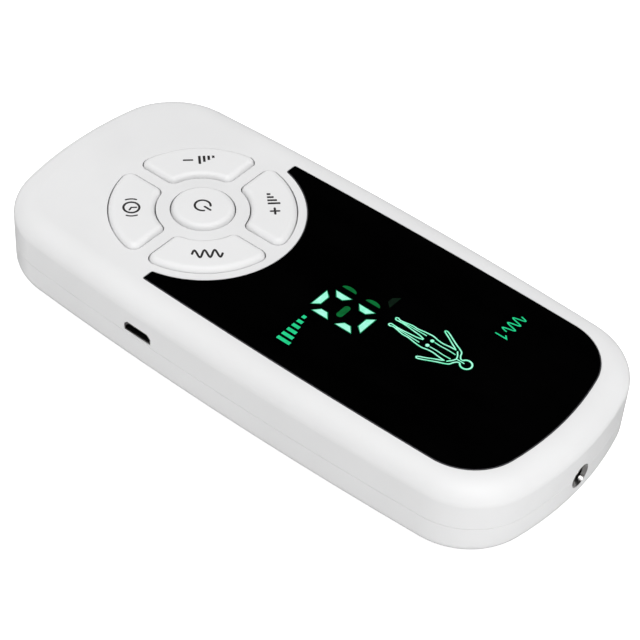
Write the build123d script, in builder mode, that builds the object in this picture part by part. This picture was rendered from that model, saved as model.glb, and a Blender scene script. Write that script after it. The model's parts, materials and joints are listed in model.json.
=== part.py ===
from build123d import *
import os

# A hand-held TENS unit (nerve stimulator) as an assembly of separate pieces, in millimetres.
# The origin is under the middle of the case, on the surface that it rests on. +X points to the side with the
# USB socket, +Y to the end with the output jack and +Z up through the display.

# ---------------------------------------------------------------- driving dimensions: case
case_width = 65.0
case_length = 142.2
case_height = 18.2  # from the underside to the flat upper face
side_radius = 949.0  # the long sides bulge slightly
key_end_radius = 89.0
jack_end_radius = 78.0
key_corner_radius = 18.0
jack_corner_radius = 17.0
top_edge_run = 5.8  # the upper edge is a quarter ellipse: this far inwards
top_edge_drop = 4.0  # and this far down
bottom_edge_radius = 3.1
wall = 2.0
top_wall = 2.2
floor = 2.0
upper_inner_radius = 3.0  # where the walls meet the upper face, inside
lower_inner_radius = 1.6
parting_height = 8.1
parting_chamfer = 0.2  # on the lower half only
tongue_thickness = 0.9
tongue_height = 1.2
fit_gap = 0.1  # between pieces that locate each other
small_edge = 0.15  # broken edges of the openings

# ---------------------------------------------------------------- driving dimensions: keys
keypad_y = -31.5  # centre of the round key pad
key_outer_radius = 20.9
key_inner_radius = 10.6
centre_key_radius = 7.15
key_spacing = 3.2  # casing between two neighbouring keys, gaps included
key_gap = 0.2
key_rise = 1.0
key_edge_radius = 1.5
key_travel = 0.4
key_wall = 1.2
key_outer_corner = 2.1
key_inner_corner = 1.8
flange_width = 1.0
flange_thickness = 0.8

# ---------------------------------------------------------------- driving dimensions: window
window_width = 51.6
window_middle_y = keypad_y + 43.0  # where the window is widest
window_end_y = keypad_y + 96.3
window_tip_y = keypad_y + 5.4
window_side_radius = 1500.0
window_end_radius = 70.3
window_corner_radius = 13.0
window_notch_radius = 23.1
window_tip_radius = 0.4
window_rise = 0.1
window_thickness = 1.3
tape_thickness = 0.1

# ---------------------------------------------------------------- driving dimensions: inside
board_bottom = 11.2
board_thickness = 1.6
board_inset = 3.2
case_screw_x = 21.5
case_screw_y = 58.0
case_screw_seat = 3.2  # height of the face that a screw's head pulls against
case_screw_radius = 1.1
board_screw_radius = 0.85
jack_bore_radius = 1.8  # for a 3.5 mm plug
jack_ring_radius = 2.75
jack_height = 7.05
usb_y = -21.4
display_y = 23.7

# ---------------------------------------------------------------- worked out from those
half_width = case_width / 2
half_length = case_length / 2
ceiling = case_height - top_wall  # underside of the upper face
recess_floor = case_height + window_rise - window_thickness - tape_thickness
board_top = board_bottom + board_thickness
key_top = case_height + key_rise
flange_top = ceiling - fit_gap
flange_bottom = flange_top - flange_thickness
key_circle = (key_inner_radius + key_outer_radius) / 2 * 0.5**0.5  # a ring key's middle, along x and along y
case_screw_places = [(x, y) for x in (-case_screw_x, case_screw_x) for y in (-case_screw_y, case_screw_y)]
board_screw_places = [(-26.5, -5), (26.5, -5), (-25.5, 47), (25.5, 47)]
switch_places = {
    "power": (0, keypad_y),
    "mode": (key_circle, keypad_y + key_circle),
    "stronger": (-key_circle, keypad_y + key_circle),
    "weaker": (-key_circle, keypad_y - key_circle),
    "timer": (key_circle, keypad_y - key_circle),
}
key_turns = {"mode": 0, "stronger": 90, "weaker": 180, "timer": 270}  # degrees about the key pad's centre

pieces = {}


# ================================================================ outlines
def case_outline(inset=0.0):
    """The case seen from above: four bulging sides with round corners, all moved in by inset."""
    with BuildSketch() as outline:
        with Locations((half_width - side_radius, 0)):
            Circle(side_radius - inset)
        with Locations((side_radius - half_width, 0)):
            Circle(side_radius - inset, mode=Mode.INTERSECT)
        with Locations((0, key_end_radius - half_length)):
            Circle(key_end_radius - inset, mode=Mode.INTERSECT)
        with Locations((0, half_length - jack_end_radius)):
            Circle(jack_end_radius - inset, mode=Mode.INTERSECT)
        fillet(outline.vertices().sort_by(Axis.Y)[:2], radius=key_corner_radius - inset)
        fillet(outline.vertices().sort_by(Axis.Y)[-2:], radius=jack_corner_radius - inset)
    return outline.sketch


def window_outline(grow=0.0):
    """The window seen from above, with the round notch that leaves room for the key pad."""
    with BuildSketch() as outline:
        with Locations((window_width / 2 - window_side_radius, window_middle_y)):
            Circle(window_side_radius + grow)
        with Locations((window_side_radius - window_width / 2, window_middle_y)):
            Circle(window_side_radius + grow, mode=Mode.INTERSECT)
        with Locations((0, window_end_y - window_end_radius)):
            Circle(window_end_radius + grow, mode=Mode.INTERSECT)
        with Locations((0, window_tip_y - grow)):
            Rectangle(case_width, case_length, align=(Align.CENTER, Align.MIN), mode=Mode.INTERSECT)
        fillet(outline.vertices().sort_by(Axis.Y)[-2:], radius=window_corner_radius + grow)
        with Locations((0, keypad_y)):
            Circle(window_notch_radius - grow, mode=Mode.SUBTRACT)
        fillet(outline.vertices().sort_by(Axis.Y)[:4], radius=window_tip_radius + grow)
    return outline.sketch


def key_outline(key, grow=0.0):
    """One key seen from above: a disc in the middle, or a quarter of the ring around it."""
    with BuildSketch() as outline:
        if key == "power":
            Circle(centre_key_radius + grow)
        else:
            Circle(key_outer_radius)
            Circle(key_inner_radius, mode=Mode.SUBTRACT)
            with Locations((key_spacing / 2, key_spacing / 2)):
                Rectangle(case_width, case_width, align=(Align.MIN, Align.MIN), mode=Mode.INTERSECT)
            corners = outline.vertices().sort_by_distance((0, 0, 0))
            fillet(corners[:2], radius=key_inner_corner)
            fillet(outline.vertices().sort_by_distance((0, 0, 0))[-2:], radius=key_outer_corner)
            if grow:
                offset(amount=grow)
    with BuildSketch() as placed:
        with Locations(Location((0, keypad_y, 0), (0, 0, key_turns.get(key, 0)))):
            add(outline.sketch)
    return placed.sketch


# ================================================================ case
# The outer shape of the closed case. One half is drawn, then mirrored.
with BuildPart() as case_block:
    with BuildSketch() as half_plan:
        add(case_outline())
        Rectangle(case_width, 2 * case_length, align=(Align.MIN, Align.CENTER), mode=Mode.INTERSECT)
    extrude(amount=case_height)
    rim = half_plan.edges().filter_by(GeomType.CIRCLE)
    rim_path = Wire(rim).moved(Location((0, 0, case_height)))
    with BuildSketch(Plane(origin=(0, -half_length, case_height), x_dir=(0, -1, 0), z_dir=(-1, 0, 0))):
        with BuildLine():
            Polyline((-top_edge_run, 0), (-top_edge_run, 1), (1, 1), (1, -top_edge_drop), (0, -top_edge_drop))
            EllipticalCenterArc(
                (-top_edge_run, -top_edge_drop), top_edge_run, top_edge_drop, start_angle=0, arc_size=90
            )
        make_face()
    sweep(path=rim_path, mode=Mode.SUBTRACT)
    mirror(about=Plane.YZ)
    fillet(case_block.faces().sort_by(Axis.Z)[0].edges(), radius=bottom_edge_radius)

with BuildPart() as upper_cavity:
    with BuildSketch(Plane.XY.offset(parting_height - 1)):
        add(case_outline(wall))
    extrude(amount=ceiling - parting_height + 1)
    fillet(upper_cavity.faces().sort_by(Axis.Z)[-1].edges(), radius=upper_inner_radius)

with BuildPart() as lower_cavity:
    with BuildSketch(Plane.XY.offset(floor)):
        add(case_outline(wall))
    extrude(amount=parting_height - floor + 1)
    fillet(lower_cavity.faces().sort_by(Axis.Z)[0].edges(), radius=lower_inner_radius)

# The space that the jack's ring takes from both casing halves.
with BuildPart() as jack_hole:
    with BuildSketch(Plane.XZ.offset(-half_length - 1)):
        with Locations((0, jack_height)):
            Circle(jack_ring_radius + fit_gap)
    extrude(amount=wall + 2.5)

# The USB socket hangs under the board and reaches through a slot in the casing's side.
usb_width = 7.5
usb_height = 2.45
usb_corner = 0.9
usb_sheet = 0.3
usb_depth = 6.2
usb_mouth_x = half_width - 0.35  # nearly level with the bulging side
usb_back_x = usb_mouth_x - usb_depth
usb_top = board_bottom


def usb_section(shrink):
    """The socket's cross-section in the YZ plane, with its two upper corners cut off."""
    reach = usb_width / 2 - shrink
    low = usb_top - usb_height + shrink
    high = usb_top - shrink
    with BuildSketch() as section:
        with BuildLine():
            Polyline(
                (usb_y - reach, low),
                (usb_y + reach, low),
                (usb_y + reach, high - usb_corner),
                (usb_y + reach - usb_corner, high),
                (usb_y - reach + usb_corner, high),
                (usb_y - reach, high - usb_corner),
                close=True,
            )
        make_face()
    return section.sketch


with BuildPart() as usb_slot:
    with BuildSketch(Plane.YZ.offset(half_width - wall - 1)):
        add(usb_section(-fit_gap))
    extrude(amount=wall + 3)
    fillet(usb_slot.edges().filter_by(Axis.X), radius=0.3)

boss_radius = 3.2
post_radius = 2.25
pilot_gap = 0.05  # the stand-in for a thread: a screw's radius is this much less than its hole's
boss_pilot_depth = 5.2
post_pilot_depth = 2.8
display_opening = (41.0, 38.5)
with BuildPart() as upper_shell:
    add(case_block.part)
    split(bisect_by=Plane.XY.offset(parting_height), keep=Keep.TOP)
    add(upper_cavity.part, mode=Mode.SUBTRACT)
    with BuildSketch(Plane.XY.offset(parting_height)):
        add(case_outline(wall - tongue_thickness - fit_gap))
    extrude(amount=tongue_height + fit_gap, mode=Mode.SUBTRACT)
    with BuildSketch(Plane.XY.offset(parting_height + fit_gap)):
        with Locations(*case_screw_places):
            Circle(boss_radius)
    extrude(amount=ceiling - parting_height)
    with BuildSketch(Plane.XY.offset(board_top)):
        with Locations(*board_screw_places):
            Circle(post_radius)
    extrude(amount=ceiling - board_top + fit_gap)
    with BuildSketch(Plane.XY.offset(recess_floor)):
        add(window_outline(fit_gap))
    extrude(amount=case_height, mode=Mode.SUBTRACT)
    with BuildSketch(Plane.XY.offset(ceiling - 1)):
        with Locations((0, display_y)):
            RectangleRounded(*display_opening, radius=1)
    extrude(amount=top_wall, mode=Mode.SUBTRACT)
    with BuildSketch(Plane.XY.offset(ceiling - 1)):
        for key in switch_places:
            add(key_outline(key, key_gap))
    extrude(amount=case_height, mode=Mode.SUBTRACT)
    for opening in upper_shell.faces().filter_by(Plane.XY).sort_by(Axis.Z)[-1].inner_wires():
        fillet(opening.edges(), radius=small_edge)
    with BuildSketch(Plane.XY.offset(parting_height)):
        with Locations(*case_screw_places):
            Circle(case_screw_radius + pilot_gap)
    extrude(amount=boss_pilot_depth, mode=Mode.SUBTRACT)
    with BuildSketch(Plane.XY.offset(board_top)):
        with Locations(*board_screw_places):
            Circle(board_screw_radius + pilot_gap)
    extrude(amount=post_pilot_depth, mode=Mode.SUBTRACT)
    add(usb_slot.part, mode=Mode.SUBTRACT)
    add(jack_hole.part, mode=Mode.SUBTRACT)
pieces["upper_shell"] = upper_shell.part

battery_size = (34.0, 50.0, 5.0)
battery_y = -3.0
rib_thickness = 1.2
rib_height = 3.0
rib_length = 9.0
rib_side_gap = 0.5  # from the battery to the ribs
rib_end_gap = 4.4  # leaves room for the protection board
lower_boss_radius = 3.6
screw_hole_radius = 1.3
screw_recess_radius = 2.4
tongue_break = 2.0  # the tongue is this much wider open than what passes through it
with BuildPart() as lower_shell:
    add(case_block.part)
    split(bisect_by=Plane.XY.offset(parting_height), keep=Keep.BOTTOM)
    chamfer(lower_shell.faces().sort_by(Axis.Z)[-1].edges(), length=parting_chamfer)
    add(lower_cavity.part, mode=Mode.SUBTRACT)
    with BuildSketch(Plane.XY.offset(parting_height)):
        add(case_outline(wall - tongue_thickness))
        add(case_outline(wall), mode=Mode.SUBTRACT)
        with Locations((half_width, usb_y)):
            Rectangle(10, usb_width + tongue_break, mode=Mode.SUBTRACT)
        with Locations((0, half_length)):
            Rectangle(2 * jack_ring_radius + tongue_break, 10, mode=Mode.SUBTRACT)
    extrude(amount=tongue_height)
    with BuildSketch(Plane.XY.offset(floor / 2)):
        with Locations(*case_screw_places):
            Circle(lower_boss_radius)
    extrude(amount=parting_height - floor / 2)
    # Two corner ribs at each end of the battery keep it in place.
    with BuildSketch(Plane.XY.offset(floor / 2)):
        for side_x in (-1, 1):
            for side_y in (-1, 1):
                corner_x = side_x * (battery_size[0] / 2 + rib_side_gap)
                corner_y = battery_y + side_y * (battery_size[1] / 2 + rib_end_gap)
                toward = (Align.MIN if side_x < 0 else Align.MAX, Align.MIN if side_y < 0 else Align.MAX)
                with Locations((corner_x + side_x * rib_thickness, corner_y + side_y * rib_thickness)):
                    Rectangle(rib_length, rib_thickness, align=toward)
                    Rectangle(rib_thickness, rib_length, align=toward)
    extrude(amount=floor / 2 + rib_height)
    with Locations(*[Location((x, y, 0), (180, 0, 0)) for x, y in case_screw_places]):
        CounterBoreHole(
            radius=screw_hole_radius,
            counter_bore_radius=screw_recess_radius,
            counter_bore_depth=case_screw_seat,
            depth=parting_height + 1,
        )
    fillet(lower_shell.edges().filter_by(GeomType.CIRCLE).group_by(Axis.Z)[0], radius=small_edge)
    add(jack_hole.part, mode=Mode.SUBTRACT)
pieces["lower_shell"] = lower_shell.part


def pan_screws(places, seat, head_radius, head_height, shank_radius, shank_length):
    """Screws that point up. Their heads hang below the height seat and have a cross recess."""
    slot_length = head_radius * 1.14
    slot_width = head_radius * 0.28
    with BuildPart() as screws:
        with BuildSketch(Plane.XY.offset(seat - head_height)):
            with Locations(*places):
                Circle(head_radius)
        extrude(amount=head_height)
        fillet(screws.edges().group_by(Axis.Z)[0], radius=head_height * 0.4)
        with BuildSketch(Plane.XY.offset(seat)):
            with Locations(*places):
                Circle(shank_radius)
        extrude(amount=shank_length)
        chamfer(screws.edges().group_by(Axis.Z)[-1], length=shank_radius * 0.6)
        with BuildSketch(Plane.XY.offset(seat - head_height)):
            with Locations(*places):
                Rectangle(slot_length, slot_width)
                Rectangle(slot_width, slot_length)
        extrude(amount=head_height * 0.6, mode=Mode.SUBTRACT)
    return screws.part


pieces["case_screws"] = pan_screws(
    case_screw_places,
    case_screw_seat,
    head_radius=2.1,
    head_height=1.5,
    shank_radius=case_screw_radius,
    shank_length=9.0,
)
pieces["board_screws"] = pan_screws(
    board_screw_places,
    board_bottom,
    head_radius=1.6,
    head_height=1.0,
    shank_radius=board_screw_radius,
    shank_length=4.2,
)

# ================================================================ window
with BuildPart() as display_window:
    with BuildSketch(Plane.XY.offset(recess_floor + tape_thickness)):
        add(window_outline())
    extrude(amount=window_thickness)
    chamfer(display_window.faces().sort_by(Axis.Z)[-1].edges(), length=small_edge)
pieces["display_window"] = display_window.part

tape_inset = 0.3
with BuildPart() as window_tape:
    with BuildSketch(Plane.XY.offset(recess_floor)):
        add(window_outline(-tape_inset))
        with Locations((0, display_y)):
            RectangleRounded(
                display_opening[0] + tape_inset, display_opening[1] + tape_inset, radius=1, mode=Mode.SUBTRACT
            )
    extrude(amount=tape_thickness)
pieces["window_tape"] = window_tape.part

# ================================================================ switches
switch_size = 4.5
switch_base_height = 2.9
switch_cover_thickness = 0.2
plunger_top = board_top + 4.1
plunger_stem_radius = 1.25
plunger_flange_radius = 1.5
plunger_flange_bottom = board_top + 2.4
plunger_flange_thickness = 0.4
pocket_floor = plunger_flange_bottom - key_travel - 0.2
dome_thickness = 0.1
all_switches = list(switch_places.values())

with BuildPart() as switch_bases:
    with BuildSketch(Plane.XY.offset(board_top)):
        with Locations(*all_switches):
            RectangleRounded(switch_size, switch_size, radius=0.4)
    extrude(amount=switch_base_height)
    with BuildSketch(Plane.XY.offset(pocket_floor)):
        with Locations(*all_switches):
            Circle(plunger_flange_radius + fit_gap)
    extrude(amount=switch_base_height, mode=Mode.SUBTRACT)
pieces["switch_bases"] = switch_bases.part

with BuildPart() as switch_covers:
    with BuildSketch(Plane.XY.offset(board_top + switch_base_height)):
        with Locations(*all_switches):
            RectangleRounded(switch_size, switch_size, radius=0.4)
            Circle(plunger_stem_radius + fit_gap, mode=Mode.SUBTRACT)
    extrude(amount=switch_cover_thickness)
pieces["switch_covers"] = switch_covers.part

with BuildPart() as switch_domes:
    with BuildSketch(Plane.XY.offset(pocket_floor)):
        with Locations(*all_switches):
            Circle(plunger_flange_radius - fit_gap)
    extrude(amount=dome_thickness)
pieces["switch_domes"] = switch_domes.part


def switch_plunger(place):
    """The part of a switch that the key pushes down, with the flange that keeps it under the cover."""
    with BuildPart() as plunger:
        with BuildSketch(Plane.XY.offset(plunger_flange_bottom)):
            with Locations(place):
                Circle(plunger_flange_radius)
        extrude(amount=plunger_flange_thickness)
        with BuildSketch(Plane.XY.offset(plunger_flange_bottom)):
            with Locations(place):
                Circle(plunger_stem_radius)
        extrude(amount=plunger_top - plunger_flange_bottom)
        fillet(plunger.edges().group_by(Axis.Z)[-1], radius=0.2)
    return plunger.part


# ================================================================ keys
key_cavity_top = key_top - key_edge_radius
key_boss_radius = 1.6


def key_cap(key):
    """A hollow cap with a flange that keeps it under the casing, and a boss that rests on the plunger."""
    with BuildPart() as cap:
        with BuildSketch(Plane.XY.offset(flange_bottom)):
            add(key_outline(key))
        extrude(amount=key_top - flange_bottom)
        fillet(cap.faces().sort_by(Axis.Z)[-1].edges(), radius=key_edge_radius)
        with BuildSketch(Plane.XY.offset(flange_bottom)):
            add(key_outline(key, flange_width))
        extrude(amount=flange_thickness)
        with BuildSketch(Plane.XY.offset(flange_bottom)):
            add(key_outline(key, -key_wall))
        extrude(amount=key_cavity_top - flange_bottom, mode=Mode.SUBTRACT)
        with BuildSketch(Plane.XY.offset(plunger_top)):
            with Locations(switch_places[key]):
                Circle(key_boss_radius)
        extrude(amount=key_cavity_top - plunger_top + fit_gap)
    return cap.part


for key, place in switch_places.items():
    pieces[f"{key}_key"] = key_cap(key)
    pieces[f"{key}_plunger"] = switch_plunger(place)

# ================================================================ circuit board
boss_clearance = 1.0
screw_clearance = 0.15
with BuildPart() as circuit_board:
    with BuildSketch(Plane.XY.offset(board_bottom)):
        add(case_outline(board_inset))
        with Locations(*case_screw_places):
            Circle(boss_radius + boss_clearance, mode=Mode.SUBTRACT)
        with Locations(*board_screw_places):
            Circle(board_screw_radius + screw_clearance, mode=Mode.SUBTRACT)
    extrude(amount=board_thickness)
pieces["circuit_board"] = circuit_board.part

# ================================================================ display
frame_size = (45.0, 42.5)
frame_height = 2.9
film_thickness = 0.2
digit_size = (6.0, 11.6)  # between the middles of the outer bars
digit_xs = (-5.2, 4.3)
digit_y = 11.6
bar_width = 1.6
# each bar of a digit: middle as a share of the digit's size, and whether it stands upright
digit_bars = [
    (0, 0.5, False),
    (0, 0, False),
    (0, -0.5, False),
    (-0.5, 0.25, True),
    (-0.5, -0.25, True),
    (0.5, 0.25, True),
    (0.5, -0.25, True),
]
bar_places = [
    (digit_x + across * digit_size[0], digit_y + along * digit_size[1], upright)
    for digit_x in digit_xs
    for across, along, upright in digit_bars
]
# middle x, middle y, width, length of the wells for the body outline, mode sign and level bars
picture_wells = [
    (-0.4, 31.0, 13.5, 22.5),
    (-16.2, 40.5, 8.5, 3.6),
    (15.4, 7.8, 10.6, 4.4),
]
with BuildPart() as display_frame:
    with BuildSketch(Plane.XY.offset(board_top)):
        with Locations((0, display_y)):
            RectangleRounded(*frame_size, radius=1)
        for x, y, upright in bar_places:
            with Locations(Location((x, y, 0), (0, 0, 90 if upright else 0))):
                SlotOverall(4.2, bar_width, mode=Mode.SUBTRACT)
        for x, y, width, length in picture_wells:
            with Locations((x, y)):
                RectangleRounded(width, length, radius=0.8, mode=Mode.SUBTRACT)
    extrude(amount=frame_height)
pieces["display_frame"] = display_frame.part

with BuildPart() as display_film:
    with BuildSketch(Plane.XY.offset(board_top + frame_height)):
        with Locations((0, display_y)):
            RectangleRounded(frame_size[0] - 0.4, frame_size[1] - 0.4, radius=1)
    extrude(amount=film_thickness)
pieces["display_film"] = display_film.part

with BuildPart() as display_leds:
    with BuildSketch(Plane.XY.offset(board_top)):
        for x, y, upright in bar_places:
            with Locations(Location((x, y, 0), (0, 0, 90 if upright else 0))):
                Rectangle(1.0, 0.5)
        for x, y, width, length in picture_wells:
            with Locations((x, y)):
                with GridLocations(3.5, 5.0, max(1, int(width / 4)), max(1, int(length / 5))):
                    Rectangle(1.0, 0.5)
    extrude(amount=0.4)
pieces["display_leds"] = display_leds.part

# ================================================================ USB socket
with BuildPart() as usb_shell:
    with BuildSketch(Plane.YZ.offset(usb_back_x)):
        add(usb_section(0))
    extrude(amount=usb_depth)
    fillet(usb_shell.edges().filter_by(Axis.X), radius=0.35)
    with BuildSketch(Plane.YZ.offset(usb_back_x)):
        add(usb_section(usb_sheet))
    extrude(amount=usb_depth, mode=Mode.SUBTRACT)
pieces["usb_shell"] = usb_shell.part

usb_block_depth = 1.4
usb_tongue_setback = 0.8  # from the mouth to the tongue's tip
usb_contact_setback = 1.1
tongue_low = usb_top - 1.25
tongue_high = usb_top - 0.65
with BuildPart() as usb_tongue:
    with BuildSketch(Plane.YZ.offset(usb_back_x)):
        add(usb_section(usb_sheet + 0.05))
    extrude(amount=usb_block_depth)
    with BuildSketch(Plane.YZ.offset(usb_back_x + usb_block_depth)):
        with Locations((usb_y, (tongue_low + tongue_high) / 2)):
            Rectangle(3.9, tongue_high - tongue_low)
    extrude(amount=usb_depth - usb_block_depth - usb_tongue_setback)
    chamfer(usb_tongue.faces().sort_by(Axis.X)[-1].edges(), length=0.15)
pieces["usb_tongue"] = usb_tongue.part

with BuildPart() as usb_contacts:
    with BuildSketch(Plane.YZ.offset(usb_back_x + usb_block_depth)):
        with Locations((usb_y, tongue_low - 0.06)):
            with GridLocations(0.65, 1, 5, 1):
                Rectangle(0.35, 0.12)
    extrude(amount=usb_depth - usb_block_depth - usb_contact_setback)
    # solder tails behind the socket
    with BuildSketch(Plane.YZ.offset(usb_back_x)):
        with Locations((usb_y, usb_top - 0.15)):
            with GridLocations(0.65, 1, 5, 1):
                Rectangle(0.35, 0.3)
    extrude(amount=-0.9)
pieces["usb_contacts"] = usb_contacts.part

# ================================================================ output jack
jack_body_front = half_length - wall - 0.9
jack_body_back = 56.0
jack_sleeve_radius = 2.3
jack_sleeve_length = 4.0
plug_space_radius = 2.05
plug_space_end = 57.0
jack_body_width = 6.6
jack_body_low = 4.2
spring_place = plug_space_radius + 0.05
spring_thickness = 0.25
jack_mouth_chamfer = 0.75
with BuildPart() as jack_body:
    with BuildSketch(Plane.XZ.offset(-jack_body_back)):
        with Locations((0, (board_bottom + jack_body_low) / 2)):
            RectangleRounded(jack_body_width, board_bottom - jack_body_low, radius=0.5)
    extrude(amount=-(jack_body_front - jack_body_back))
    with BuildSketch(Plane.XZ.offset(-jack_body_front)):
        with Locations((0, jack_height)):
            Circle(jack_sleeve_radius + 0.05)
    extrude(amount=jack_sleeve_length + 0.1, mode=Mode.SUBTRACT)
    with BuildSketch(Plane.XZ.offset(-jack_body_front)):
        with Locations((0, jack_height)):
            Circle(plug_space_radius)
    extrude(amount=jack_body_front - plug_space_end, mode=Mode.SUBTRACT)
    # slots for the two contact springs, open at the back
    with BuildSketch(Plane.XZ.offset(-jack_body_back)):
        with Locations((-spring_place - 0.15, jack_height), (spring_place + 0.15, jack_height)):
            Rectangle(0.6, 1.8)
    extrude(amount=-8, mode=Mode.SUBTRACT)
pieces["jack_body"] = jack_body.part

with BuildPart() as jack_bushing:
    with BuildSketch(Plane.XZ.offset(-half_length)):
        with Locations((0, jack_height)):
            Circle(jack_ring_radius)
    extrude(amount=half_length - jack_body_front)
    with BuildSketch(Plane.XZ.offset(-jack_body_front)):
        with Locations((0, jack_height)):
            Circle(jack_sleeve_radius)
    extrude(amount=jack_sleeve_length)
    with BuildSketch(Plane.XZ.offset(-half_length)):
        with Locations((0, jack_height)):
            Circle(jack_bore_radius)
    extrude(amount=half_length - jack_body_front + jack_sleeve_length, mode=Mode.SUBTRACT)
    mouth_edges = jack_bushing.faces().sort_by(Axis.Y)[-1].edges().sort_by(SortBy.LENGTH)
    chamfer(mouth_edges[-1], length=small_edge)
    mouth_edges = jack_bushing.faces().sort_by(Axis.Y)[-1].edges().sort_by(SortBy.LENGTH)
    chamfer(mouth_edges[0], length=jack_mouth_chamfer)
pieces["jack_bushing"] = jack_bushing.part

with BuildPart() as jack_springs:
    with BuildSketch(Plane.XZ.offset(-(jack_body_back - 0.9))):
        with Locations((-spring_place - 0.15, jack_height), (spring_place + 0.15, jack_height)):
            Rectangle(spring_thickness, 1.4)
    extrude(amount=-8)
    # their tails rise to the board behind the jack
    with BuildSketch(Plane.XY.offset(jack_height)):
        with Locations(
            (-spring_place - 0.15, jack_body_back - 0.7), (spring_place + 0.15, jack_body_back - 0.7)
        ):
            Rectangle(spring_thickness, 0.4)
    extrude(amount=board_bottom - jack_height)
pieces["jack_springs"] = jack_springs.part

# ================================================================ battery
battery_tape_thickness = 0.3
battery_bottom = floor + battery_tape_thickness
battery_top = battery_bottom + battery_size[2]
battery_end = battery_y + battery_size[1] / 2
with BuildPart() as battery_tape:
    with BuildSketch(Plane.XY.offset(floor)):
        with Locations((0, battery_y)):
            Rectangle(battery_size[0] - 6, battery_size[1] - 8)
    extrude(amount=battery_tape_thickness)
pieces["battery_tape"] = battery_tape.part

with BuildPart() as battery_cell:
    with BuildSketch(Plane.XY.offset(battery_bottom)):
        with Locations((0, battery_y)):
            RectangleRounded(battery_size[0], battery_size[1], radius=1.5)
    extrude(amount=battery_size[2])
    fillet(battery_cell.faces().filter_by(Axis.Z).edges(), radius=1.2)
pieces["battery_cell"] = battery_cell.part

protection_top = battery_bottom + 1.8
with BuildPart() as battery_protection_board:
    with BuildSketch(Plane.XY.offset(battery_bottom + 1)):
        with Locations((0, battery_end + 0.2)):
            Rectangle(30, 3.4, align=(Align.CENTER, Align.MIN))
    extrude(amount=protection_top - battery_bottom - 1)
    with BuildSketch(Plane.XY.offset(protection_top)):
        with Locations((6, battery_end + 1.9), (11, battery_end + 1.9)):
            Rectangle(2.9, 1.6)
    extrude(amount=1.0)
pieces["battery_protection_board"] = battery_protection_board.part

plug_x = -9.0
plug_back_y = 29.5
plug_middle_z = 8.9
lead_spacing = 2.0
with BuildPart() as battery_plug:
    with BuildSketch(Plane.XY.offset(plug_middle_z - 1.7)):
        with Locations((plug_x, plug_back_y)):
            Rectangle(5.5, 6.0, align=(Align.CENTER, Align.MIN))
    extrude(amount=3.4)
    chamfer(battery_plug.edges().filter_by(Axis.Y), length=0.3)
pieces["battery_plug"] = battery_plug.part

with BuildPart() as battery_header:
    with BuildSketch(Plane.XY.offset(plug_middle_z - 2.5)):
        with Locations((plug_x, plug_back_y + 2)):
            Rectangle(7.7, 7.4, align=(Align.CENTER, Align.MIN))
    extrude(amount=board_bottom - plug_middle_z + 2.5)
    with BuildSketch(Plane.XY.offset(plug_middle_z - 1.8)):
        with Locations((plug_x, plug_back_y + 2)):
            Rectangle(5.7, 5.4, align=(Align.CENTER, Align.MIN))
    extrude(amount=3.6, mode=Mode.SUBTRACT)
pieces["battery_header"] = battery_header.part


def battery_lead(start_x, end_x):
    """A wire from the protection board's upper side round to the back of the plug."""
    start = (start_x, battery_end + 1.9, protection_top)
    end = (end_x, plug_back_y, plug_middle_z)
    with BuildPart() as lead:
        with BuildLine() as run:
            Spline(start, end, tangents=((0, 0, 1), (0, 1, 0)), tangent_scalars=(1.2, 1.2))
        with BuildSketch(Plane(origin=start, z_dir=(0, 0, 1))):
            Circle(0.55)
        sweep()
    return lead.part


pieces["battery_lead_red"] = battery_lead(-6.0, plug_x - lead_spacing / 2)
pieces["battery_lead_black"] = battery_lead(-3.5, plug_x + lead_spacing / 2)

# ================================================================ output transformer, under the board
transformer_place = (13.0, 38.0)
core_low = 3.4
core_high = 10.2
yoke = 1.2
core_width = 12.0
core_depth = 5.0
leg_half_width = 1.6
core_window = 3.0
with BuildPart() as transformer_core:
    with BuildSketch(Plane.XZ.offset(-transformer_place[1] - core_depth / 2)):
        with Locations((transformer_place[0], (core_low + core_high) / 2)):
            Rectangle(core_width, core_high - core_low)
        for side in (-1, 1):
            window_x = transformer_place[0] + side * (leg_half_width + core_window / 2)
            with Locations((window_x, (core_low + core_high) / 2)):
                Rectangle(core_window, core_high - core_low - 2 * yoke, mode=Mode.SUBTRACT)
    extrude(amount=core_depth)
pieces["transformer_core"] = transformer_core.part

spool_low = core_low + yoke + 0.1
spool_high = core_high - yoke - 0.1
spool_flange = 0.4
spool_size = (2 * leg_half_width + 1.2, core_depth + 1.2)
leg_hole = (2 * leg_half_width + 0.2, core_depth + 0.2)
flange_size = (2 * (leg_half_width + core_window) - 0.4, core_depth + 5.0)
with BuildPart() as transformer_bobbin:
    with BuildSketch(Plane.XY.offset(spool_low)):
        with Locations(transformer_place):
            Rectangle(*spool_size)
    extrude(amount=spool_high - spool_low)
    for flange_low in (spool_low, spool_high - spool_flange):
        with BuildSketch(Plane.XY.offset(flange_low)):
            with Locations(transformer_place):
                Rectangle(*flange_size)
        extrude(amount=spool_flange)
    with BuildSketch(Plane.XY.offset(spool_high - spool_flange)):
        with Locations(transformer_place):
            Rectangle(*flange_size)
            Rectangle(flange_size[0], core_depth + 0.4, mode=Mode.SUBTRACT)
    extrude(amount=board_bottom - spool_high + spool_flange)
    with BuildSketch(Plane.XY.offset(spool_low)):
        with Locations(transformer_place):
            Rectangle(*leg_hole)
    extrude(amount=spool_high - spool_low, mode=Mode.SUBTRACT)
pieces["transformer_bobbin"] = transformer_bobbin.part

with BuildPart() as transformer_winding:
    with BuildSketch(Plane.XY.offset(spool_low + spool_flange + 0.05)):
        with Locations(transformer_place):
            RectangleRounded(flange_size[0] - 0.6, flange_size[1] - 0.6, radius=1.8)
            Rectangle(spool_size[0] + 0.1, spool_size[1] + 0.1, mode=Mode.SUBTRACT)
    extrude(amount=spool_high - spool_low - 2 * spool_flange - 0.1)
pieces["transformer_winding"] = transformer_winding.part

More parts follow.
